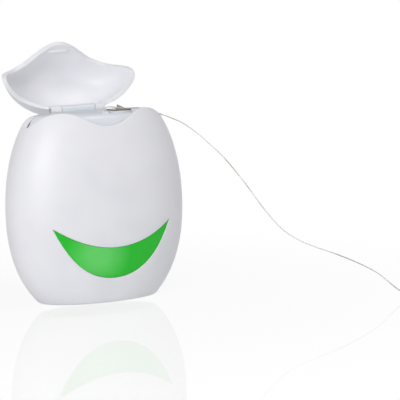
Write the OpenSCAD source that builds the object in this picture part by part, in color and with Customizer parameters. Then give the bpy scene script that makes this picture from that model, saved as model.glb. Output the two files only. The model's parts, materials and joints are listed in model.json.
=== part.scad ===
// Dental floss dispenser: a pebble-shaped case with a flip lid, shown open.
// Origin at the middle of the flat base, +Z up, front towards -Y, in millimetres.

/* [Case] */
// Width of the case at its widest level
body_w = 52; // [44:0.5:62]
// Depth of the case at its deepest level
body_d = 27.5; // [25:0.5:36]
// Height of the case with its lid closed
closed_h = 61; // [57:0.5:70]
// Height of the widest level above the floor
belly_z = 25; // [22:0.5:29]
// Width of the flat base
base_w = 34.6; // [28:0.2:42]
// Wall of the two shells
wall = 1.5; // [1.2:0.1:1.8]
// Thickness of the floor inside the case
floor_t = 1.6; // [1.2:0.1:2.4]
// Radius of the edge round the base
base_edge_r = 0.5; // [0.3:0.05:0.8]
// Roundness of the side outline, where 2 is an ellipse
side_power = 2.2; // [2:0.05:2.5]
// Roundness of the plan outline, where 2 is an ellipse
plan_power = 2.1; // [2:0.05:2.4]

/* [Wavy seam] */
// Height of the closed lid over the rear seam
lid_h = 10; // [9:0.25:12]
// Rise of the two front humps over the rear seam
hump_rise = 1.35; // [0.8:0.05:2]
// Drop of the front dip below the rear seam
dip_drop = 2.5; // [1.5:0.1:3.2]
// Drop of the two side dips below the rear seam
side_drop = 2.8; // [2:0.1:3.2]
// Distance between the crests of the two humps
hump_spacing = 24; // [20:0.5:26]
// Gap between the closed lid and the case
seam_gap = 0.5; // [0.45:0.05:0.7]
// Extra gap at the two sides, where the floss passes
side_gap = 0.6; // [0.5:0.05:0.8]

/* [Lid] */
// Wall of the lid
lid_wall = 1.1; // [0.9:0.05:1.3]
// How far the lid is fuller than the pebble, between its rim and its crown
lid_swell = 2.2; // [1:0.1:2.6]
// How far the lid stands open, as stored
open_angle = 128; // [120:1:134]
// How far the thumb tab flares out
tab_flare = 0.7; // [0.3:0.1:1]
// Half width of the thumb tab
tab_half_w = 6; // [4:0.5:8]
// Height over which the thumb tab flares
tab_h = 3; // [2:0.25:4]
// Radius of the snap bead inside the thumb tab
bead_r = 0.4; // [0.3:0.05:0.45]
// Length of the snap bead
bead_len = 5.5; // [4:0.25:7]

/* [Hinge] */
// Radius of the hinge barrel and knuckles
barrel_r = 1.4; // [1.2:0.05:1.6]
// Half length of the middle barrel
barrel_half = 5; // [4:0.25:6]
// Length of each lid knuckle
knuckle_len = 3; // [2.5:0.25:3.5]
// Radius of the hinge pin
pin_r = 0.8; // [0.6:0.05:0.9]
// Height of the hinge axis over the rear seam
hinge_lift = 0.4; // [0.2:0.05:0.6]
// How far the hinge axis lies inside the rear surface
hinge_inset = 0.25; // [0.1:0.05:0.5]
// Running clearance of pin and spindle
run_fit = 0.05; // [0.03:0.01:0.08]
// Clearance beside and around the moving knuckles
side_fit = 0.15; // [0.1:0.05:0.25]

/* [Top insert] */
// Height of the deck over the rear seam
deck_rise = 0.2; // [0:0.05:0.4]
// Thickness of the deck
deck_t = 1.4; // [1.2:0.1:1.8]
// Clearance of the neck in the shells
neck_fit = 0.1; // [0.08:0.02:0.2]
// Wall of the neck below the deck
neck_t = 1.2; // [1:0.1:1.4]
// Height of the neck
neck_h = 5.2; // [4.8:0.1:6]
// Width of the plate that carries the spindle
web_w = 16; // [12:0.5:20]
// Thickness of that plate
web_t = 1.3; // [1:0.1:1.6]

/* [Cutter] */
// Width of the steel cutter
cutter_w = 5.2; // [4.4:0.1:6]
// Depth of the steel cutter from front to back
cutter_d = 4.6; // [4:0.1:5.4]
// Thickness of the steel sheet
cutter_t = 0.3; // [0.25:0.05:0.4]
// Middle of the cutter to the right of the centre line
cutter_x = 6.6; // [6:0.1:7.4]
// Middle of the cutter in front of the centre line
cutter_y = -3.1; // [-3.4:0.1:-2.8]
// Height of the pad under the cutter
pad_h = 0.6; // [0.4:0.1:0.8]
// Width of the cutting tongue at its root
tongue_w = 3.7; // [3:0.1:4]
// Length of the cutting tongue
tongue_len = 3; // [2.4:0.1:3.4]
// Angle of the cutting tongue
tongue_angle = 24; // [16:1:30]
// Length of the two legs in the deck
leg_len = 1.5; // [1:0.1:1.8]

/* [Floss outlet] */
// Guide hole to the right of the centre line
guide_x = 2.4; // [2:0.1:2.8]
// Guide hole in front of the centre line
guide_y = -3; // [-3.4:0.1:-2.6]
// Radius of the guide hole
guide_r = 0.6; // [0.5:0.05:0.8]
// Radius of the raised lip round the guide hole
guide_lip_r = 1.3; // [1.1:0.05:1.4]
// Height of the raised lip
guide_lip_h = 0.5; // [0.5:0.1:0.6]

/* [Smile window] */
// Width of the window from tip to tip
smile_w = 35.1; // [30:0.1:38]
// Height of the middle of its upper edge
smile_top_z = 15.6; // [14:0.1:17]
// Height of the middle of its lower edge
smile_bottom_z = 7.2; // [6:0.1:8.4]
// Height of its two tips
smile_tip_z = 21.6; // [20:0.1:23]
// Fullness of its lower edge, where 1 is a parabola
smile_fullness = 0.66; // [0.5:0.02:0.9]
// Depth of its face below the case surface
smile_recess = 0.35; // [0.2:0.05:0.5]
// Clearance round the window
smile_fit = 0.12; // [0.08:0.01:0.2]
// Width of its flange behind the wall
smile_flange_w = 1.1; // [0.8:0.1:1.4]
// Thickness of that flange
smile_flange_t = 0.8; // [0.6:0.1:1]

/* [Bobbin] */
// Radius of the bobbin flanges
flange_r = 16.5; // [14:0.25:17.5]
// Thickness of the bobbin flanges
bobbin_flange_t = 1; // [0.8:0.1:1.4]
// Width of the bobbin over its flanges
bobbin_w = 14.4; // [12:0.2:15]
// Radius of the bobbin core
core_r = 6.5; // [5.5:0.25:8]
// Radius of the wound floss
winding_r = 13.6; // [11:0.2:14]
// Radius of the spindle
spindle_r = 3.95; // [3:0.05:4.5]
// Wall of the hollow spindle
spindle_wall = 1.4; // [1:0.1:1.8]
// Height of the spindle axis above the floor
spindle_z = 26.5; // [25.5:0.25:28]
// Free play at each end of the bobbin
end_play = 0.4; // [0.2:0.1:0.6]

/* [Floss] */
// Diameter of the floss
floss_d = 0.3; // [0.24:0.02:0.3]

/* [Hidden] */
lower_rows = 9;
upper_rows = 13;
shell_rows = lower_rows + upper_rows + 2;
lid_cols = 96;
lid_rows = 12;
floss_sides = 8;
floss_step = 1.5;
round_fn = 64;
eps = 0.01;
over = 1;
crown_h = closed_h - belly_z;
foot_h = belly_z / pow(1 - pow(base_w / body_w, side_power), 1 / side_power);
seam_z = closed_h - lid_h;
web_drop = 9;
spindle_over = 0.8;
spindle_end_t = 1.5;
shoulder_power = 3.5;
rear_power = 12;
swell_power = 1.6;
deck_z = seam_z + deck_rise;
neck_z = deck_z - neck_h;
hinge_z = seam_z + hinge_lift;
hinge_y = half_d(hinge_z, 0) - hinge_inset;
knuckle_end = barrel_half + side_fit + knuckle_len;
clear_r = barrel_r + side_fit;
pad_z = deck_z + pad_h;
plate_z = pad_z + cutter_t;
web_y = bobbin_w / 2 + end_play;
spindle_tip_y = -bobbin_w / 2 - end_play - spindle_over;
web_bottom_z = spindle_z - web_drop;
bead_z = seam_z - dip_drop + seam_gap + 1.8;
smile_tip_x = smile_w / 2;
smile_end_gap = 0.25;
smile_blunt = 0.1;
smile_tip_u = smile_tip_x / half_w(smile_tip_z, 0);
smile_tip_t = plan_angle(smile_tip_u);
notch_z = hinge_z - clear_r - 0.1;
notch_slope = 0.7;
notch_t = plan_angle((knuckle_end + 2 * side_fit) / half_w(seam_z, wall)) - notch_slope;
groove_r = 0.42;
groove_a = [13, -3.4, 52.25];
groove_b = [17.7, -2.8, 50.3];

// Route of the floss from the guide hole over the cutter and the side, to the surface
floss_route = [
    [2.4, -3, 51.7], [2.4, -3, 52.1], [2.6, -3.1, 52.6], [3.2, -3.4, 52.9],
    [4.2, -4, 52.85], [5.6, -4.6, 52.55], [7.4, -4.85, 52.4], [9.5, -4.7, 52.25],
    [12, -3.85, 52.1], [14.5, -3.2, 51.7], [16.2, -2.95, 51.15], [17.2, -2.88, 50.53],
    [18, -2.9, 50.25], [19, -3, 49.98], [20.2, -3.3, 49.5], [21.8, -4, 48.8],
    [24.9, -5.9, 47.1], [28.1, -8.7, 44.1], [30.7, -11.4, 40.9], [32.9, -14, 37.9],
    [36.5, -18.6, 31.4], [39.8, -23.4, 24.3], [42.8, -27.8, 18.9], [46, -31.6, 15.8],
    [50, -34.4, 13.7], [55, -36.8, 11.6], [61, -39, 8.7], [66, -40.4, 5.7],
    [70, -41.4, 2.2], [72, -42, 0.6], [74, -42.6, 0.2], [77, -43.6, 0.2], [82, -45, 0.2],
    [86, -45.6, 0.2]
];

// Route of the floss inside the case, from the wound floss up to the guide hole
feed_route = [
    [12.3, -3, 33.4], [9.6, -3, 37.6], [6.9, -3, 41.8], [4.3, -3, 45.8], [3, -3, 48],
    [2.5, -3, 49.6], [2.4, -3, 50.9], [2.4, -3, 51.7]
];

// Share of the full radius at a height, for the pebble shrunk by d
function pebble_share(z, d) = let (
        k = z > belly_z ? (z - belly_z) / (crown_h - d) : (belly_z - z) / (foot_h - d)
    ) pow(max(0, 1 - pow(k, side_power)), 1 / side_power);

function half_w(z, d) = (body_w / 2 - d) * pebble_share(z, d);
function half_d(z, d) = (body_d / 2 - d) * pebble_share(z, d);

// Cosine and sine of the plan outline
function plan_c(t) = sign(cos(t)) * pow(abs(cos(t)), 2 / plan_power);
function plan_s(t) = sign(sin(t)) * pow(abs(sin(t)), 2 / plan_power);

function plan_angle(u) = acos(pow(u, plan_power / 2));

// Front surface of the pebble at a place across and up
function front_y(x, z, d) = -half_d(z, d)
    * pow(max(0, 1 - pow(abs(x) / half_w(z, d), plan_power)), 1 / plan_power);

// Height of the wavy seam, for a share u of the half width
function front_seam(u) = let (c = hump_spacing / 2 / half_w(seam_z + hump_rise, 0))
    seam_z + hump_rise - (u < c
        ? (hump_rise + dip_drop) * (1 + cos(180 * u / c)) / 2
        : (hump_rise + side_drop) * pow((u - c) / (1 - c), shoulder_power));
function rear_seam(u) = seam_z - side_drop * pow(u, rear_power);
function seam_at(t) = let (u = min(1, abs(plan_c(t))))
    sin(t) < 0 ? front_seam(u) : rear_seam(u);

// Triangles of one strip of a grid, clockwise from outside when flip is false
function grid_faces(first, rows, cols, wrap, flip) = [
    for (j = [0:rows - 2], c = [0:cols - (wrap ? 1 : 2)], k = [0, 1])
        let (
            a = first + j * cols + c,
            b = first + j * cols + (c + 1) % cols,
            e = a + cols,
            f = b + cols
        ) k == 0 ? (flip ? [a, b, f] : [a, e, f]) : (flip ? [a, f, e] : [a, f, b])
];

// Rim of the case, with the notch for the hinge in the middle of the rear
function rim_at(t) = sin(t) > 0 && t > notch_t + eps && t < 180 - notch_t - eps
    ? notch_z : seam_at(t);

// Edges of the smile window at a place across
function smile_upper(x) = smile_top_z + (smile_tip_z - smile_top_z) * pow(x / smile_tip_x, 2);
function smile_lower(x) = let (s = pow(x / smile_tip_x, 2))
    smile_bottom_z + (smile_tip_z - smile_bottom_z)
        * (smile_fullness * s + (1 - smile_fullness) * s * s);

// Height where a column of the shell meets an edge of the window
function smile_on(t, up, z, n) = n == 0 ? z
    : let (x = half_w(z, 0) * plan_c(t))
        smile_on(t, up, up ? smile_upper(x) : smile_lower(x), n - 1);

// Lower or upper limit of the band that the window is cut from
function band_z(t, up) = sin(t) >= 0 ? smile_tip_z + (up ? 1.5 : -1.5)
    : let (out = max(0, smile_tip_t - min(t - 180, 360 - t)) / smile_tip_t)
        (out > 0 ? smile_tip_z : smile_on(t, up, smile_tip_z, 14))
            + (up ? 1 : -1) * (smile_blunt + 1.4 * out);

// Height of row j on the column at plan angle t, from the level of the floor or the base
function row_z(j, t, inside) = let (lo = band_z(t, false), hi = band_z(t, true))
    j > lower_rows ? hi + (rim_at(t) - hi) * (j - lower_rows - 1) / upper_rows
        : inside ? floor_t + (lo - floor_t) * j / lower_rows
        : j == 0 ? 0 : j == 1 ? base_edge_r * 0.3
        : base_edge_r + (lo - base_edge_r) * (j - 2) / (lower_rows - 2);

function edge_inset(z) = z < base_edge_r
    ? base_edge_r - sqrt(pow(base_edge_r, 2) - pow(base_edge_r - z, 2)) : 0;
function outer_point(z, t) = let (i = edge_inset(z))
    [(half_w(z, 0) - i) * plan_c(t), (half_d(z, 0) - i) * plan_s(t), z];

// Inner point straight behind the outer one across the window, closing in beside it
function inner_point(z, t) = let (
        u = abs(plan_c(t)),
        w = sin(t) > 0 ? 1 : max(0, (u - smile_tip_u) / (1 - smile_tip_u)),
        x = (half_w(z, 0) + (half_w(z, wall) - half_w(z, 0)) * w) * plan_c(t)
    ) [x, u > 0.99999 ? 0 : sign(sin(t)) * -front_y(x, z, wall), z];

// Plan angles of the columns, with counts[i] steps from stops[i] to the next stop
function columns(stops, counts) = concat(
    [for (i = [0:len(counts) - 1], k = [0:counts[i] - 1])
        stops[i] + (stops[i + 1] - stops[i]) * k / counts[i]],
    [stops[len(counts)]]);

// One half of the case over the columns ts, open between columns h0 and h1 of the band
module half_shell(ts, h0, h1) {
    cols = len(ts);
    last = cols - 1;
    outer = [for (j = [0:shell_rows - 1], t = ts) outer_point(row_z(j, t, false), t)];
    inner = [for (j = [0:shell_rows - 1], t = ts) inner_point(row_z(j, t, true), t)];
    n = len(outer);
    top = n - cols;
    low = lower_rows * cols;
    upp = low + cols;
    below = lower_rows + 1;
    rim = [for (c = [0:last - 1], k = [0, 1])
        k == 0 ? [top + c, n + top + c, n + top + c + 1]
            : [top + c, n + top + c + 1, top + c + 1]];
    band = [for (c = [0:last - 1], k = [0:3]) if (c < h0 || c >= h1)
        [[low + c, upp + c, upp + c + 1], [low + c, upp + c + 1, low + c + 1],
            [n + low + c, n + upp + c + 1, n + upp + c],
            [n + low + c, n + low + c + 1, n + upp + c + 1]][k]];
    edges = h1 <= h0 ? [] : concat(
        [for (c = [h0:h1 - 1], k = [0:3])
            [[low + c, n + low + c, n + low + c + 1], [low + c, n + low + c + 1, low + c + 1],
                [upp + c, n + upp + c + 1, n + upp + c], [upp + c, upp + c + 1, n + upp + c + 1]][k]],
        [[low + h0, upp + h0, n + upp + h0], [low + h0, n + upp + h0, n + low + h0],
            [low + h1, n + upp + h1, upp + h1], [low + h1, n + low + h1, n + upp + h1]]);
    parting = [for (j = [0:cols:top - cols], k = [0, 1])
        k == 0 ? [j + cols, j, n + j, n + j + cols]
            : [j + last, j + cols + last, n + j + cols + last, n + j + last]];
    sole = 2 * n;
    floor_mid = sole + 1;
    bottom = [for (c = [0:last - 1], k = [0, 1])
        k == 0 ? [c, c + 1, sole] : [n + c + 1, n + c, floor_mid]];
    polyhedron(concat(outer, inner, [[0, 0, 0], [0, 0, floor_t]]), concat(
        grid_faces(0, below, cols, false, false),
        grid_faces(upp, upper_rows + 1, cols, false, false),
        grid_faces(n, below, cols, false, true),
        grid_faces(n + upp, upper_rows + 1, cols, false, true),
        rim, band, edges, parting, bottom,
        [[0, sole, floor_mid, n], [sole, last, n + last, floor_mid]]), convexity = 6);
}

// Plan outline at a height of the pebble shrunk by d, moved in by e
module outline(z, d, e) {
    polygon([for (i = [0:71])
        [(half_w(z, d) - e) * plan_c(5 * i), (half_d(z, d) - e) * plan_s(5 * i)]]);
}

// A round bar along X about the hinge axis
module hinge_bar(r, x0, x1) {
    translate([x0, hinge_y, hinge_z]) rotate([0, 90, 0])
        cylinder(r = r, h = x1 - x0, $fn = round_fn);
}

// A round bar along Y about the spindle axis
module spindle_bar(r, y0, y1) {
    translate([0, y1, spindle_z]) rotate([90, 0, 0])
        cylinder(r = r, h = y1 - y0, $fn = round_fn);
}

module knuckle_room() {
    for (s = [-1, 1])
        hinge_bar(clear_r, s > 0 ? barrel_half : -knuckle_end - side_fit,
            s > 0 ? knuckle_end + side_fit : -barrel_half);
}

module front_shell() {
    color("#e4e4e8") half_shell(
        columns([180, 180 + smile_tip_t, 360 - smile_tip_t, 360], [11, 26, 11]), 11, 37);
}

module rear_shell() {
    color("#e4e4e8") half_shell(
        columns([0, notch_t, notch_t + notch_slope, 180 - notch_t - notch_slope,
            180 - notch_t, 180], [16, 1, 12, 1, 16]), 0, 0);
}

// Cross-section of the window at a place across, as a ring of points
function window_ring(x) = let (
        lo = smile_lower(x) - smile_blunt + smile_fit,
        hi = smile_upper(x) + smile_blunt - smile_fit,
        f = smile_flange_w + smile_fit,
        near = wall + 0.1,
        far = near + smile_flange_t,
        n = 4
    ) concat(
        [for (i = [0:n]) let (z = lo + (hi - lo) * i / n) [x, front_y(x, z, smile_recess), z]],
        [[x, front_y(x, hi, near), hi], [x, front_y(x, hi + f, near), hi + f]],
        [for (i = [n:-1:0]) let (z = lo - f + (hi - lo + 2 * f) * i / n)
            [x, front_y(x, z, far), z]],
        [[x, front_y(x, lo - f, near), lo - f], [x, front_y(x, lo, near), lo]]);

module smile_window() {
    steps = 40;
    end_x = smile_tip_x - smile_end_gap;
    rings = [for (i = [0:steps]) window_ring(-end_x * cos(180 * i / steps))];
    m = len(rings[0]);
    color("#4fc45c", 0.8) polyhedron([for (r = rings, p = r) p], concat(
        grid_faces(0, steps + 1, m, true, true),
        [[for (i = [m - 1:-1:0]) i]],
        [[for (i = [0:m - 1]) steps * m + i]]), convexity = 4);
}

module cutter_legs(w) {
    for (s = [-1, 1])
        translate([cutter_x + s * (cutter_w - cutter_t) / 2 - w / 2,
            cutter_y - cutter_d / 4 - (w - cutter_t) / 2, plate_z - cutter_t - leg_len])
            cube([w, cutter_d / 2 + w - cutter_t, leg_len + eps]);
}

module rest_groove() {
    d = groove_b - groove_a;
    translate(groove_a) rotate([0, acos(d[2] / norm(d)), atan2(d[1], d[0])])
        cylinder(r = groove_r, h = norm(d) + over, $fn = 24);
}

// Solid that follows the inside of the case between two heights, smaller by e
module neck_block(lo, hi, e) {
    translate([0, 0, lo]) linear_extrude(height = hi - lo,
        scale = [(half_w(hi, wall) - e) / (half_w(lo, wall) - e),
            (half_d(hi, wall) - e) / (half_d(lo, wall) - e)])
        outline(lo, wall, e);
}

module top_insert() {
    color("#dfe7ea") difference() {
        union() {
            neck_block(neck_z, deck_z, neck_fit);
            hinge_bar(barrel_r, -barrel_half, barrel_half);
            translate([-barrel_half, web_y, hinge_z - barrel_r])
                cube([2 * barrel_half, hinge_y - web_y, barrel_r - hinge_lift + deck_rise]);
            translate([cutter_x - cutter_w / 2 - 0.2, cutter_y - cutter_d / 2 - 0.2, deck_z - eps])
                cube([cutter_w + 0.4, cutter_d + 0.4, pad_h + eps]);
            translate([guide_x, guide_y, deck_z - eps])
                cylinder(r = guide_lip_r, h = guide_lip_h + eps, $fn = 48);
            translate([-web_w / 2, web_y, web_bottom_z])
                cube([web_w, web_t, neck_z - web_bottom_z + eps]);
            intersection() {
                translate([-web_w / 2, web_y, neck_z])
                    cube([web_w, web_t, deck_z - deck_t - neck_z + eps]);
                neck_block(neck_z, deck_z, neck_fit);
            }
            spindle_bar(spindle_r, spindle_tip_y, web_y + eps);
        }
        difference() {
            neck_block(neck_z - eps, deck_z - deck_t, neck_fit + neck_t);
            translate([-web_w / 2, web_y, web_bottom_z])
                cube([web_w, web_t, deck_z - web_bottom_z]);
        }
        knuckle_room();
        hinge_bar(pin_r, -barrel_half - over, barrel_half + over);
        cutter_legs(cutter_t + 0.1);
        translate([guide_x, guide_y, deck_z - deck_t - over])
            cylinder(r = guide_r, h = deck_t + guide_lip_h + 2 * over, $fn = 32);
        spindle_bar(spindle_r - spindle_wall, spindle_tip_y - over, web_y - spindle_end_t);
        rest_groove();
    }
}

// Flat blank of the cutting tongue, its root at the front
module tongue_blank(w, len) {
    polygon([[-w / 2, 0], [w / 2, 0], [0, len]]);
}

module floss_cutter() {
    root_y = cutter_y - cutter_d / 2 + 0.7;
    color("#b9bcc0") union() {
        difference() {
            translate([cutter_x - cutter_w / 2, cutter_y - cutter_d / 2, pad_z])
                cube([cutter_w, cutter_d, cutter_t]);
            translate([cutter_x, root_y + cutter_t, pad_z - over])
                linear_extrude(height = cutter_t + 2 * over)
                    tongue_blank(tongue_w - 0.2, tongue_len);
        }
        translate([cutter_x, root_y, pad_z]) rotate([tongue_angle, 0, 0])
            linear_extrude(height = cutter_t) tongue_blank(tongue_w, tongue_len);
        cutter_legs(cutter_t);
    }
}

module hinge_pin() {
    color("#c9c9cc") hinge_bar(pin_r, -knuckle_end, knuckle_end);
}

// Point of the lid surface on row i, from its rim up to the crown
function lid_point(i, t, d) = let (
        rim_z = seam_at(t) + seam_gap + side_gap * pow(abs(plan_c(t)), 6),
        h = crown_h - d,
        start = asin(pow((rim_z - belly_z) / h, side_power / 2)),
        a = start + (90 - start) * i / lid_rows,
        r = pow(cos(a), 2 / side_power),
        z = belly_z + h * pow(sin(a), 2 / side_power),
        swell = lid_swell * sin(180 * pow(i / lid_rows, swell_power)),
        x = ((body_w / 2 - d) * r + swell) * plan_c(t),
        y = ((body_d / 2 - d) * r + swell) * plan_s(t),
        flare = sin(t) < 0 ? tab_flare * exp(-pow(x / tab_half_w, 2) * 2)
            * pow(max(0, 1 - (z - rim_z) / tab_h), 2) : 0
    ) [x, y - flare, z];

module lid_dish() {
    cols = lid_cols;
    outer = [for (i = [0:lid_rows - 1], c = [0:cols - 1]) lid_point(i, 360 * c / cols, 0)];
    inner = [for (i = [0:lid_rows - 1], c = [0:cols - 1])
        lid_point(i, 360 * c / cols, lid_wall)];
    n = len(outer);
    last = n - cols;
    poles = [[0, 0, belly_z + crown_h], [0, 0, belly_z + crown_h - lid_wall]];
    rim = [for (c = [0:cols - 1], k = [0, 1]) let (e = (c + 1) % cols)
        k == 0 ? [c, e, n + e] : [c, n + e, n + c]];
    caps = [for (c = [0:cols - 1], k = [0, 1]) let (e = (c + 1) % cols)
        k == 0 ? [last + c, 2 * n, last + e] : [n + last + c, n + last + e, 2 * n + 1]];
    polyhedron(concat(outer, inner, poles), concat(
        grid_faces(0, lid_rows, cols, true, false),
        grid_faces(n, lid_rows, cols, true, true), rim, caps), convexity = 4);
}

// Turns what is drawn closed to the open pose
module opened() {
    translate([0, hinge_y, hinge_z]) rotate([-open_angle, 0, 0])
        translate([0, -hinge_y, -hinge_z]) children();
}

module lid() {
    bead_y = -half_d(bead_z, 0) + lid_wall - bead_r / 4 - tab_flare / 4;
    color("#e4e4e8") opened() difference() {
        union() {
            difference() {
                lid_dish();
                hinge_bar(clear_r, -barrel_half - side_fit, barrel_half + side_fit);
            }
            for (s = [-1, 1])
                hinge_bar(barrel_r, s > 0 ? barrel_half + side_fit : -knuckle_end,
                    s > 0 ? knuckle_end : -barrel_half - side_fit);
            translate([-bead_len / 2, bead_y, bead_z]) rotate([0, 90, 0])
                cylinder(r = bead_r, h = bead_len, $fn = 24);
        }
        hinge_bar(pin_r + run_fit, -knuckle_end - over, knuckle_end + over);
    }
}

module bobbin() {
    b = bobbin_w / 2;
    color("#f0f0ec") difference() {
        union() {
            spindle_bar(flange_r, b - bobbin_flange_t, b);
            spindle_bar(core_r, -b + bobbin_flange_t, b - eps);
            spindle_bar(core_r - 1, -b, b - eps);
        }
        spindle_bar(spindle_r + run_fit, -b - over, b + over);
    }
}

module bobbin_flange() {
    b = bobbin_w / 2;
    color("#f0f0ec") difference() {
        spindle_bar(flange_r, -b, -b + bobbin_flange_t);
        spindle_bar(core_r - 1, -b - over, -b + bobbin_flange_t + over);
    }
}

module floss_winding() {
    h = bobbin_w / 2 - bobbin_flange_t;
    color("#f4f4ef") translate([0, 0, spindle_z]) rotate([90, 0, 0])
        rotate_extrude($fn = round_fn) polygon([[core_r, -h], [winding_r - 0.8, -h],
            [winding_r, -h + 0.8], [winding_r, h - 0.8], [winding_r - 0.8, h], [core_r, h]]);
}

// Smooth curve through the points of a route
function route_at(p, i, s) = let (
        n = len(p) - 1,
        a = p[max(0, i - 1)],
        b = p[i],
        c = p[min(n, i + 1)],
        d = p[min(n, i + 2)]
    ) 0.5 * (2 * b + (c - a) * s + (2 * a - 5 * b + 4 * c - d) * s * s
        + (3 * b - a - 3 * c + d) * s * s * s);
function route_steps(p, i) = max(1, round(norm(p[i + 1] - p[i]) / floss_step));
function smooth_route(p) = concat(
    [for (i = [0:len(p) - 2], k = [0:route_steps(p, i) - 1])
        route_at(p, i, k / route_steps(p, i))],
    [p[len(p) - 1]]);

// Rings of a round strand along a curve
function strand_ring(q, i, r) = let (
        n = len(q) - 1,
        t = q[min(n, i + 1)] - q[max(0, i - 1)],
        u = t / norm(t),
        side = cross(u, [0.6, 0.8, 0]),
        v = side / norm(side),
        w = cross(u, v)
    ) [for (k = [0:floss_sides - 1]) let (a = 360 * k / floss_sides)
        q[i] + r * (cos(a) * v + sin(a) * w)];

module strand(route) {
    q = smooth_route(route);
    n = floss_sides;
    polyhedron([for (i = [0:len(q) - 1], p = strand_ring(q, i, floss_d / 2)) p], concat(
        grid_faces(0, len(q), n, true, false),
        [[for (k = [0:n - 1]) k]],
        [[for (k = [n - 1:-1:0]) (len(q) - 1) * n + k]]), convexity = 8);
}

module floss_feed() {
    color("#eef2f0") strand(feed_route);
}

module floss_strand() {
    color("#eef2f0") strand(floss_route);
}

front_shell();
rear_shell();
smile_window();
top_insert();
floss_cutter();
hinge_pin();
lid();
bobbin();
bobbin_flange();
floss_winding();
floss_feed();
floss_strand();
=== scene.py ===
# %% [markdown]
# # A floss dispenser that stands open
#
# The object is a small moulded case, the shape of a flattened pebble, with a flip lid, a green
# window, a steel cutter and a spool of floss inside. Its sizes and joints already exist as a
# fixed model. This lesson gives each piece the finish and the soft edges that a moulded piece
# has, lays the floss over the cutter, and puts the whole under plain studio light.

# %% Load the fixed model
import json
import math

import bmesh
import bpy
from mathutils import Matrix, Vector


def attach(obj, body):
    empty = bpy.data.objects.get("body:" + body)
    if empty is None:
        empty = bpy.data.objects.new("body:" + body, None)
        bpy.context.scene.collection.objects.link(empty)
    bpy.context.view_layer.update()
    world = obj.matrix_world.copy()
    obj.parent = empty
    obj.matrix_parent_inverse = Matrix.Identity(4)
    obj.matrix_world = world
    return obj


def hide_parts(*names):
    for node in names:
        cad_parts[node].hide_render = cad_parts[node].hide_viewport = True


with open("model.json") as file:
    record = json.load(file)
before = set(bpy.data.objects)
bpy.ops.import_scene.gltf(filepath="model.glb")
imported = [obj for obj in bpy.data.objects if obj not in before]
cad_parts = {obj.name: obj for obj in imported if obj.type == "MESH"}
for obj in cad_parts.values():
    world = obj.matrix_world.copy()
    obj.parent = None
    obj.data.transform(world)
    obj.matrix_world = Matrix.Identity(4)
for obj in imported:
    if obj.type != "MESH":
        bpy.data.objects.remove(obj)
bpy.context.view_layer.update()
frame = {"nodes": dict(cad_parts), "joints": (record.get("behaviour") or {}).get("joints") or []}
nodes = frame["nodes"]
MM = 0.001
print("pieces:", ", ".join(sorted(nodes)))

# %% [markdown]
# ## The camera
#
# A product shot like this one is taken from a little above and a little to the left, with a long
# lens. The camera is placed by four plain facts: its bearing, its height angle, its distance and
# the small tilt of the horizon. One point of the object, the middle of the case, then has to
# fall on a known place in the picture, which fixes the framing without any lens shift.

# %% Camera
PICTURE_PX = 400
BEARING = math.radians(-28.0)
HEIGHT_ANGLE = math.radians(7.66)
ROLL = math.radians(1.313)
DISTANCE = 0.7135
LENS_PX = 2597.4
SENSOR_MM = 36.0
AIM_POINT = Vector((0, 0, 0.027))
AIM_PIXEL = (94.71, 200.56)

back = Vector((
    math.sin(BEARING) * math.cos(HEIGHT_ANGLE),
    -math.cos(BEARING) * math.cos(HEIGHT_ANGLE),
    math.sin(HEIGHT_ANGLE),
))
level = Vector((math.cos(BEARING), math.sin(BEARING), 0))
upright = back.cross(level)
right = math.cos(ROLL) * level - math.sin(ROLL) * upright
up = math.sin(ROLL) * level + math.cos(ROLL) * upright
per_pixel = DISTANCE / LENS_PX
middle = PICTURE_PX / 2
place = (
    AIM_POINT
    + DISTANCE * back
    - (AIM_PIXEL[0] - middle) * per_pixel * right
    - (middle - AIM_PIXEL[1]) * per_pixel * up
)

bpy.ops.object.camera_add(location=place)
camera = bpy.context.object
camera.name = "camera"
camera.data.sensor_width = SENSOR_MM
camera.data.lens = LENS_PX * SENSOR_MM / PICTURE_PX
camera.data.clip_start = 0.01
camera.data.clip_end = 20
camera.rotation_mode = "QUATERNION"
camera.rotation_quaternion = Matrix((right, up, back)).transposed().to_quaternion()
bpy.context.scene.camera = camera
print(f"lens {camera.data.lens:.1f} mm at {DISTANCE:.3f} m")

# %% [markdown]
# ## The floss
#
# Floss is a loose bundle of waxed nylon filaments, pressed flat by the winding, here a third of a
# millimetre across. It comes up through a guide hole, goes over the cutter, leaves the case at
# its side and falls in an easy line to the surface. Its route is a short list of given points,
# the same ones that the fixed model uses, joined by a smooth curve.

# %% Route of the floss
FLOSS_WIDTH = 0.32 * MM
ROUTE_MM = [
    (2.4, -3, 51.7), (2.4, -3, 52.1), (2.6, -3.1, 52.6), (3.2, -3.4, 52.9),
    (4.2, -4, 52.85), (5.6, -4.6, 52.55), (7.4, -4.85, 52.4), (9.5, -4.7, 52.25),
    (12, -3.85, 52.1), (14.5, -3.2, 51.7), (16.2, -2.95, 51.15), (17.2, -2.88, 50.53),
    (18, -2.9, 50.25), (19, -3, 49.98), (20.2, -3.3, 49.5), (21.8, -4, 48.8),
    (24.9, -5.9, 47.1), (28.1, -8.7, 44.1), (30.7, -11.4, 40.9), (32.9, -14, 37.9),
    (36.5, -18.6, 31.4), (39.8, -23.4, 24.3), (42.8, -27.8, 18.9), (46, -31.6, 15.8),
    (50, -34.4, 13.7), (55, -36.8, 11.6), (61, -39, 8.7), (66, -40.4, 5.7),
    (70, -41.4, 2.2), (72, -42, 0.6), (74, -42.6, 0.2), (77, -43.6, 0.2), (82, -45, 0.2),
    (86, -45.6, 0.2),
]
STEPS_PER_SPAN = 4


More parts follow.
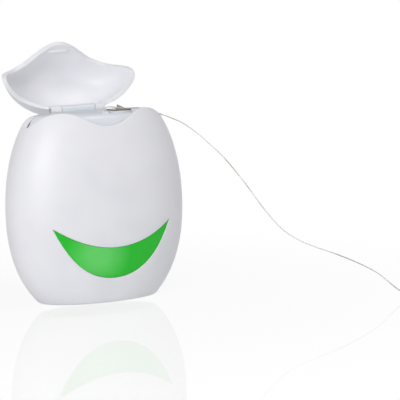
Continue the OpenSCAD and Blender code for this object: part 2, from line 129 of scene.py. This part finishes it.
def smooth_route(points, steps):
    """Catmull-Rom curve through the points, with the same number of steps in each span."""
    p = [Vector(q) * MM for q in points]
    out = []
    for i in range(len(p) - 1):
        a, b, c, d = p[max(0, i - 1)], p[i], p[i + 1], p[min(len(p) - 1, i + 2)]
        for k in range(steps):
            s = k / steps
            out.append(0.5 * (
                2 * b + (c - a) * s + (2 * a - 5 * b + 4 * c - d) * s ** 2
                + (3 * b - a - 3 * c + d) * s ** 3
            ))
    return out + [p[-1]]


route = smooth_route(ROUTE_MM, STEPS_PER_SPAN)

# %% [markdown]
# A curve object with a round profile is the plain way to make a strand: the spline is its centre
# line and the bevel gives its thickness. It is then turned into a mesh, which measures true.

# %% The strand
curve = bpy.data.curves.new("floss", "CURVE")
curve.dimensions = "3D"
curve.bevel_depth = FLOSS_WIDTH / 2
curve.bevel_resolution = 2
curve.use_fill_caps = True
spline = curve.splines.new("POLY")
spline.points.add(len(route) - 1)
for point, where in zip(spline.points, route):
    point.co = (*where, 1)
floss = bpy.data.objects.new("floss", curve)
bpy.context.scene.collection.objects.link(floss)
bpy.ops.object.select_all(action="DESELECT")
floss.select_set(True)
bpy.context.view_layer.objects.active = floss
bpy.ops.object.convert(target="MESH")
floss = bpy.context.object
bpy.ops.object.shade_smooth()
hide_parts("floss_strand")
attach(floss, "case")

# %% [markdown]
# ## Soft edges on moulded pieces
#
# A moulded edge is never knife sharp: the mould has a small radius, and it is that radius that
# catches the light along the rim of the lid and the wavy seam. The fixed model's pieces are plain
# triangles, so each piece that shows is copied, its loose triangles are merged, its edges are
# rounded and its broad faces are shaded smooth. The size and the place don't change.

# %% Copy a piece and round its edges
MERGE = 0.002 * MM
SMOOTH_ANGLE = math.radians(32)


def sharp_edges(mesh, least_degrees, where):
    """Selects edges that turn by more than an angle and whose middle passes a test."""
    for item in list(mesh.faces) + list(mesh.edges) + list(mesh.verts):
        item.select = False
    count = 0
    for edge in mesh.edges:
        if len(edge.link_faces) != 2:
            continue
        centre = (edge.verts[0].co + edge.verts[1].co) / 2 / MM
        if edge.calc_face_angle(0) > math.radians(least_degrees) and where(centre):
            edge.select = True
            count += 1
    mesh.select_flush_mode()
    return count


def soft_copy(node, name, radius_mm, where, body, least_degrees=50, segments=3):
    """A merged copy of a CAD node with rounded edges and smooth shading."""
    piece = bpy.data.objects.new(name, nodes[node].data.copy())
    bpy.context.scene.collection.objects.link(piece)
    bpy.ops.object.select_all(action="DESELECT")
    piece.select_set(True)
    bpy.context.view_layer.objects.active = piece
    bpy.ops.object.mode_set(mode="EDIT")
    bpy.ops.mesh.select_all(action="SELECT")
    bpy.ops.mesh.remove_doubles(threshold=MERGE)
    bpy.ops.mesh.select_mode(type="EDGE")
    found = 0
    if radius_mm:
        edit = bmesh.from_edit_mesh(piece.data)
        found = sharp_edges(edit, least_degrees, where)
        bmesh.update_edit_mesh(piece.data)
        bpy.ops.mesh.bevel(offset=radius_mm * MM, segments=segments, clamp_overlap=True)
    bpy.ops.object.mode_set(mode="OBJECT")
    bpy.ops.object.shade_smooth_by_angle(angle=SMOOTH_ANGLE)
    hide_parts(node)
    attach(piece, body)
    print(f"{name}: {found} edges rounded, {len(piece.data.polygons)} faces")
    return piece


# %% [markdown]
# ## The case
#
# The case is two shells welded along the middle of its sides. Their rims make the wavy seam, and
# the front one has the opening for the window. Only those rims are rounded: the weld line stays
# tight, as on the real piece, and so does the foot.

# %% Shells
RIM_RADIUS_MM = 0.3
WELD_BAND_MM = 0.3
FOOT_MM = 3
shell_front = soft_copy("front_shell", "shell_front", RIM_RADIUS_MM,
                        lambda p: p.y < -WELD_BAND_MM and p.z > FOOT_MM, "case")
shell_rear = soft_copy("rear_shell", "shell_rear", RIM_RADIUS_MM,
                       lambda p: p.y > WELD_BAND_MM and p.z > FOOT_MM, "case")

# %% [markdown]
# ## The lid, the window and the small parts
#
# The lid is a thin dish with a thumb tab. Its rim is rounded all round, but the knuckles at the
# hinge keep their true edges, because they run against the barrel. The green window gets a
# smaller radius. The top insert, the cutter and the pin keep their edges and are only shaded
# smooth.

# %% Lid, window, insert, cutter
hinge_y, hinge_z = [v / MM for v in frame["joints"][0]["pos_m"][1:]]
KNUCKLE_REACH_MM = 2.2
LID_RIM_MM = 0.32
WINDOW_RIM_MM = 0.12
RIM_TURN = 55


def away_from_hinge(p):
    return math.hypot(p.y - hinge_y, p.z - hinge_z) > KNUCKLE_REACH_MM


def anywhere(p):
    return True


lid_dish = soft_copy("lid", "lid_dish", LID_RIM_MM, away_from_hinge, "lid",
                     RIM_TURN)
window = soft_copy("smile_window", "window", WINDOW_RIM_MM, anywhere, "case",
                   RIM_TURN)
insert = soft_copy("top_insert", "insert", 0, anywhere, "case")
cutter = soft_copy("floss_cutter", "cutter", 0, anywhere, "case")
pin = soft_copy("hinge_pin", "pin", 0, anywhere, "case")

# %% [markdown]
# ## Colours and nodes
#
# Colours are written as the hex values that the eye reads off a screen, and one function turns
# them to the linear light that the shader works in. Another adds a node with its settings and
# links, so that each material below reads as a short recipe.

# %% Helpers for materials
def linear(code, alpha=1.0):
    """An sRGB hex colour as linear light."""
    channels = [int(code[i:i + 2], 16) / 255 for i in (1, 3, 5)]
    light = [c / 12.92 if c <= 0.04045 else ((c + 0.055) / 1.055) ** 2.4 for c in channels]
    return (*light, alpha)


def add(tree, kind, settings=None, **links):
    """A node with its settings, and links into its inputs by name, with _ for a space."""
    node = tree.nodes.new("ShaderNode" + kind)
    for key, value in (settings or {}).items():
        if key in node.inputs:
            node.inputs[key].default_value = value
        else:
            setattr(node, key, value)
    for key, source in links.items():
        tree.links.new(source, node.inputs[key.replace("_", " ")])
    return node


def new_material(name):
    """An empty material and its output node."""
    material = bpy.data.materials.new(name)
    material.use_nodes = True
    tree = material.node_tree
    tree.nodes.clear()
    return material, tree


def finish_with(tree, shader):
    add(tree, "OutputMaterial", None, Surface=shader.outputs[0])


def noise_on_object(tree, size_mm, detail=2.0):
    """Noise with features of a real size, on the piece's own coordinates."""
    where = add(tree, "TexCoord")
    return add(tree, "TexNoise", {"Scale": 1 / (size_mm * MM), "Detail": detail},
               Vector=where.outputs["Object"])


def dress(piece, material):
    piece.data.materials.clear()
    piece.data.materials.append(material)


# %% [markdown]
# ## Moulded polypropylene
#
# The case and lid are white polypropylene. It is a waxy, slightly see-through plastic: light goes
# in a little way and comes out again, which softens the shading. The mould leaves a fine spark
# texture, drawn here at 0.25 mm so that it shows, and flow makes the tone wander a little over
# 12 mm.

# %% White polypropylene
FLOW_MM = 12
SPARK_MM = 0.25


def moulded_polypropylene(name, light, shade, roughness, see_through):
    material, tree = new_material(name)
    flow = noise_on_object(tree, FLOW_MM)
    tone = add(tree, "ValToRGB", None, Fac=flow.outputs["Fac"])
    tone.color_ramp.elements[0].position = 0.35
    tone.color_ramp.elements[0].color = linear(shade)
    tone.color_ramp.elements[1].position = 0.65
    tone.color_ramp.elements[1].color = linear(light)
    grain = noise_on_object(tree, SPARK_MM)
    bump = add(tree, "Bump", {"Strength": 0.05, "Distance": 0.01 * MM},
               Height=grain.outputs["Fac"])
    plastic = add(tree, "BsdfPrincipled", {
        "Roughness": roughness,
        "IOR": 1.49,
        "Subsurface Weight": see_through,
        "Subsurface Radius": (1.0, 1.0, 1.0),
        "Subsurface Scale": 0.6 * MM,
    }, Base_Color=tone.outputs["Color"], Normal=bump.outputs["Normal"])
    finish_with(tree, plastic)
    return material


white_plastic = moulded_polypropylene("white polypropylene", "#eeeef2", "#e9e9ee", 0.38, 0.15)
insert_plastic = moulded_polypropylene("bluish polypropylene", "#e5e9ef", "#e0e5eb", 0.3, 0.2)
bobbin_plastic = moulded_polypropylene("natural polypropylene", "#f4f4ef", "#eeeee8", 0.35, 0.2)
for piece in (shell_front, shell_rear, lid_dish):
    dress(piece, white_plastic)
dress(insert, insert_plastic)
for name in ("bobbin", "bobbin_flange"):
    dress(nodes[name], bobbin_plastic)

# %% [markdown]
# ## The green window
#
# The window is clear green plastic, polished so that the spool can be seen behind it. A tinted
# shader lets part of the light through and gives the rest back as green. The white spool stands
# close behind the left middle of it, and the tone is lighter there: a painted highlight, a round
# gradient, 9.5 mm in radius, placed on the piece's own coordinates.

# %% Green window plastic
# Centre and radius of the painted highlight on the window, in mm.
HIGHLIGHT_X = -5.0
HIGHLIGHT_Z = 14.0
HIGHLIGHT_RADIUS = 9.5


def tinted_plastic():
    material, tree = new_material("clear green plastic")
    where = add(tree, "TexCoord")
    highlight_place = add(tree, "Mapping", {
        "Location": (-HIGHLIGHT_X / HIGHLIGHT_RADIUS, 0, -HIGHLIGHT_Z / HIGHLIGHT_RADIUS),
        "Scale": (1 / (HIGHLIGHT_RADIUS * MM), 0, 1 / (HIGHLIGHT_RADIUS * MM)),
    }, Vector=where.outputs["Object"])
    painted_highlight = add(tree, "TexGradient", {"gradient_type": "SPHERICAL"},
               Vector=highlight_place.outputs["Vector"])
    # Painted highlight: the green is lighter near the left middle of the window.
    tone = add(tree, "ValToRGB", None, Fac=painted_highlight.outputs["Fac"])
    tone.color_ramp.elements[0].position = 0.0
    tone.color_ramp.elements[0].color = linear("#1fda2c")
    tone.color_ramp.elements[1].position = 0.7
    tone.color_ramp.elements[1].color = linear("#70f074")
    plastic = add(tree, "BsdfPrincipled", {
        "Roughness": 0.12,
        "IOR": 1.49,
        "Specular IOR Level": 0.25,
        "Transmission Weight": 0.25,
    }, Base_Color=tone.outputs["Color"])
    finish_with(tree, plastic)
    return material


dress(window, tinted_plastic())

# %% [markdown]
# ## Steel
#
# The cutter is stamped from thin spring steel, rolled bright. Rolling leaves fine lines along the
# strip, about 0.1 mm apart, which a stretched noise gives to the roughness. The surround is white
# all round, so the cutter gets a darker tint than bright steel has, to stand out from the pale
# deck: painted dark reflection. The hinge pin is drawn wire.

# %% Rolled steel
LINE_MM = 0.1


def rolled_steel(name, tint, rough_low, rough_high):
    material, tree = new_material(name)
    where = add(tree, "TexCoord")
    along = add(tree, "Mapping", {"Scale": (0.05, 1.0, 1.0)}, Vector=where.outputs["Object"])
    lines = add(tree, "TexNoise", {"Scale": 1 / (LINE_MM * MM), "Detail": 1.0},
                Vector=along.outputs["Vector"])
    rough = add(tree, "MapRange", {"To Min": rough_low, "To Max": rough_high},
                Value=lines.outputs["Fac"])
    bump = add(tree, "Bump", {"Strength": 0.1, "Distance": 0.005 * MM},
               Height=lines.outputs["Fac"])
    steel = add(tree, "BsdfPrincipled", {"Base Color": linear(tint), "Metallic": 1.0},
                Roughness=rough.outputs["Result"], Normal=bump.outputs["Normal"])
    finish_with(tree, steel)
    return material


# The darker tint of the cutter is painted dark reflection.
dress(cutter, rolled_steel("rolled spring steel", "#7d7873", 0.15, 0.3))
dress(pin, rolled_steel("drawn steel wire", "#bfc1c4", 0.2, 0.35))

# %% [markdown]
# ## Waxed floss
#
# Waxed nylon is nearly white and lets light through at its thin edges. The bundle twists slowly as
# it falls, so it looks wider and paler in places: bands of painted light and shade, some 6 mm long,
# stand for the flat faces turning toward the light and away.
# The winding on the spool is the same floss, seen as fine lines 0.35 mm apart round the core; the
# darker lines are painted shade in the grooves between turns, together with a bump.

# %% Floss and winding
# Length of the bands of painted light and shade along the strand.
TWIST_SHADE_MM = 6
TURN_MM = 0.35
WAVES_PER_UNIT = 20


def waxed_floss():
    material, tree = new_material("waxed nylon floss")
    twist_shade = noise_on_object(tree, TWIST_SHADE_MM, 1.0)
    # Painted light and shade: paler and darker bands along the strand stand for its twist.
    tone = add(tree, "ValToRGB", None, Fac=twist_shade.outputs["Fac"])
    tone.color_ramp.elements[0].position = 0.38
    tone.color_ramp.elements[0].color = linear("#cac5bd")
    tone.color_ramp.elements[1].position = 0.6
    tone.color_ramp.elements[1].color = linear("#f0f1ee")
    nylon = add(tree, "BsdfPrincipled", {
        "Roughness": 0.35,
        "IOR": 1.53,
        "Transmission Weight": 0.15,
        "Sheen Weight": 0.3,
    }, Base_Color=tone.outputs["Color"])
    finish_with(tree, nylon)
    return material


def wound_floss():
    material, tree = new_material("wound floss")
    where = add(tree, "TexCoord")
    turns = add(tree, "TexWave", {
        "bands_direction": "Y",
        "Scale": 1 / (TURN_MM * MM) / WAVES_PER_UNIT,
        "Distortion": 0.6,
        "Detail": 1.0,
    }, Vector=where.outputs["Object"])
    # Painted shade: the colour is darker in the grooves between turns.
    tone = add(tree, "ValToRGB", None, Fac=turns.outputs["Fac"])
    tone.color_ramp.elements[0].color = linear("#cfd0c8")
    tone.color_ramp.elements[1].color = linear("#f2f3ee")
    bump = add(tree, "Bump", {"Strength": 0.6, "Distance": 0.1 * MM},
               Height=turns.outputs["Fac"])
    nylon = add(tree, "BsdfPrincipled", {"Roughness": 0.45, "IOR": 1.53},
                Base_Color=tone.outputs["Color"], Normal=bump.outputs["Normal"])
    finish_with(tree, nylon)
    return material


floss_material = waxed_floss()
dress(floss, floss_material)
dress(nodes["floss_feed"], floss_material)
dress(nodes["floss_winding"], wound_floss())

# %% [markdown]
# ## Floor and backdrop
#
# The dispenser stands on a clear plate over white, so its reflection is faint and starts a little
# below the base. The floor carries the shadow, and a second sheet just below it carries the
# reflection. Both are white to the camera.

# %% Floor
PLATE_MM = 1.6
BELOW_FOOT_MM = 0.02
SHADOW_FROM = 0.03
SHADOW_TO = 0.13
MIRROR_SHARE = 0.14
PLATE_SHADOW = 0.09
FLOOR_SIZE = 3.0


def sheet_of_floor(name, z):
    bpy.ops.mesh.primitive_plane_add(size=FLOOR_SIZE, location=(0, 0, z))
    sheet = bpy.context.object
    sheet.name = name
    bpy.ops.object.transform_apply(location=True, rotation=False, scale=False)
    return sheet


def plate_material():
    material, tree = new_material("clear plate")
    clear = add(tree, "BsdfTransparent")
    white = add(tree, "BsdfDiffuse", {"Color": linear("#f4f4f6")})
    where = add(tree, "TexCoord")
    far = add(tree, "VectorMath", {"operation": "LENGTH"})
    tree.links.new(where.outputs["Object"], far.inputs[0])
    fade = add(tree, "MapRange", {
        "From Min": SHADOW_FROM,
        "From Max": SHADOW_TO,
        "To Min": PLATE_SHADOW,
        "To Max": 0.0,
    }, Value=far.outputs["Value"])
    both = add(tree, "MixShader", None, Fac=fade.outputs["Result"])
    tree.links.new(clear.outputs[0], both.inputs[1])
    tree.links.new(white.outputs[0], both.inputs[2])
    finish_with(tree, both)
    return material


def white_under_plate():
    material, tree = new_material("white under the plate")
    glow = add(tree, "Emission", {"Color": linear("#ffffff"), "Strength": 1.0})
    mirror = add(tree, "BsdfGlossy", {"Color": linear("#ffffff"), "Roughness": 0.03})
    both = add(tree, "MixShader", {"Fac": MIRROR_SHARE})
    tree.links.new(glow.outputs[0], both.inputs[1])
    tree.links.new(mirror.outputs[0], both.inputs[2])
    white = add(tree, "BsdfDiffuse", {"Color": linear("#f4f4f6")})
    ray = add(tree, "LightPath")
    mirrored = add(tree, "Math", {"operation": "MAXIMUM"})
    tree.links.new(ray.outputs["Is Glossy Ray"], mirrored.inputs[0])
    tree.links.new(ray.outputs["Is Transmission Ray"], mirrored.inputs[1])
    plain = add(tree, "MixShader", None, Fac=mirrored.outputs[0])
    tree.links.new(white.outputs[0], plain.inputs[1])
    tree.links.new(glow.outputs[0], plain.inputs[2])
    seen = add(tree, "MixShader", None, Fac=ray.outputs["Is Camera Ray"])
    tree.links.new(plain.outputs[0], seen.inputs[1])
    tree.links.new(both.outputs[0], seen.inputs[2])
    finish_with(tree, seen)
    return material


floor = sheet_of_floor("floor", -BELOW_FOOT_MM * MM)
dress(floor, plate_material())
under = sheet_of_floor("floor_under", -PLATE_MM * MM)
dress(under, white_under_plate())

# %% [markdown]
# ## Light
#
# The light is that of a white tent: a wide lamp at the front left, a very weak one at the right, one
# above that shines into the open lid, and a pale surround. The surround is white to the eye and
# in reflections, and dimmer as a light, so the case keeps its own soft grey.

# %% Lamps and world
TENT_LIGHT = 0.35


def soft_box(name, where, towards, size, watts):
    bpy.ops.object.light_add(type="AREA", location=where)
    lamp = bpy.context.object
    lamp.name = name
    lamp.data.shape = "DISK"
    lamp.data.size = size
    lamp.data.energy = watts
    lamp.rotation_mode = "QUATERNION"
    aim = Vector(towards) - Vector(where)
    lamp.rotation_quaternion = aim.to_track_quat("-Z", "Y")
    return lamp


soft_box("key", (-0.5, -0.52, 0.24), (0, 0, 0.03), 0.45, 2.75)
soft_box("fill", (0.5, -0.35, 0.25), (0, 0, 0.03), 0.3, 0.04)
soft_box("top", (0.22, -0.16, 0.66), (0, 0, 0.06), 0.3, 0.95)

world = bpy.data.worlds.new("tent")
bpy.context.scene.world = world
world.use_nodes = True
tree = world.node_tree
tree.nodes.clear()
ray = add(tree, "LightPath")
shiny = add(tree, "Math", {"operation": "MAXIMUM"})
tree.links.new(ray.outputs["Is Camera Ray"], shiny.inputs[0])
tree.links.new(ray.outputs["Is Glossy Ray"], shiny.inputs[1])
clear = add(tree, "Math", {"operation": "MAXIMUM"})
tree.links.new(shiny.outputs[0], clear.inputs[0])
tree.links.new(ray.outputs["Is Transmission Ray"], clear.inputs[1])
strength = add(tree, "MapRange", {"To Min": TENT_LIGHT, "To Max": 1.0}, Value=clear.outputs[0])
tent = add(tree, "Background", {"Color": linear("#ffffff")}, Strength=strength.outputs["Result"])
add(tree, "OutputWorld", None, Surface=tent.outputs[0])
bpy.context.scene.view_settings.view_transform = "Standard"
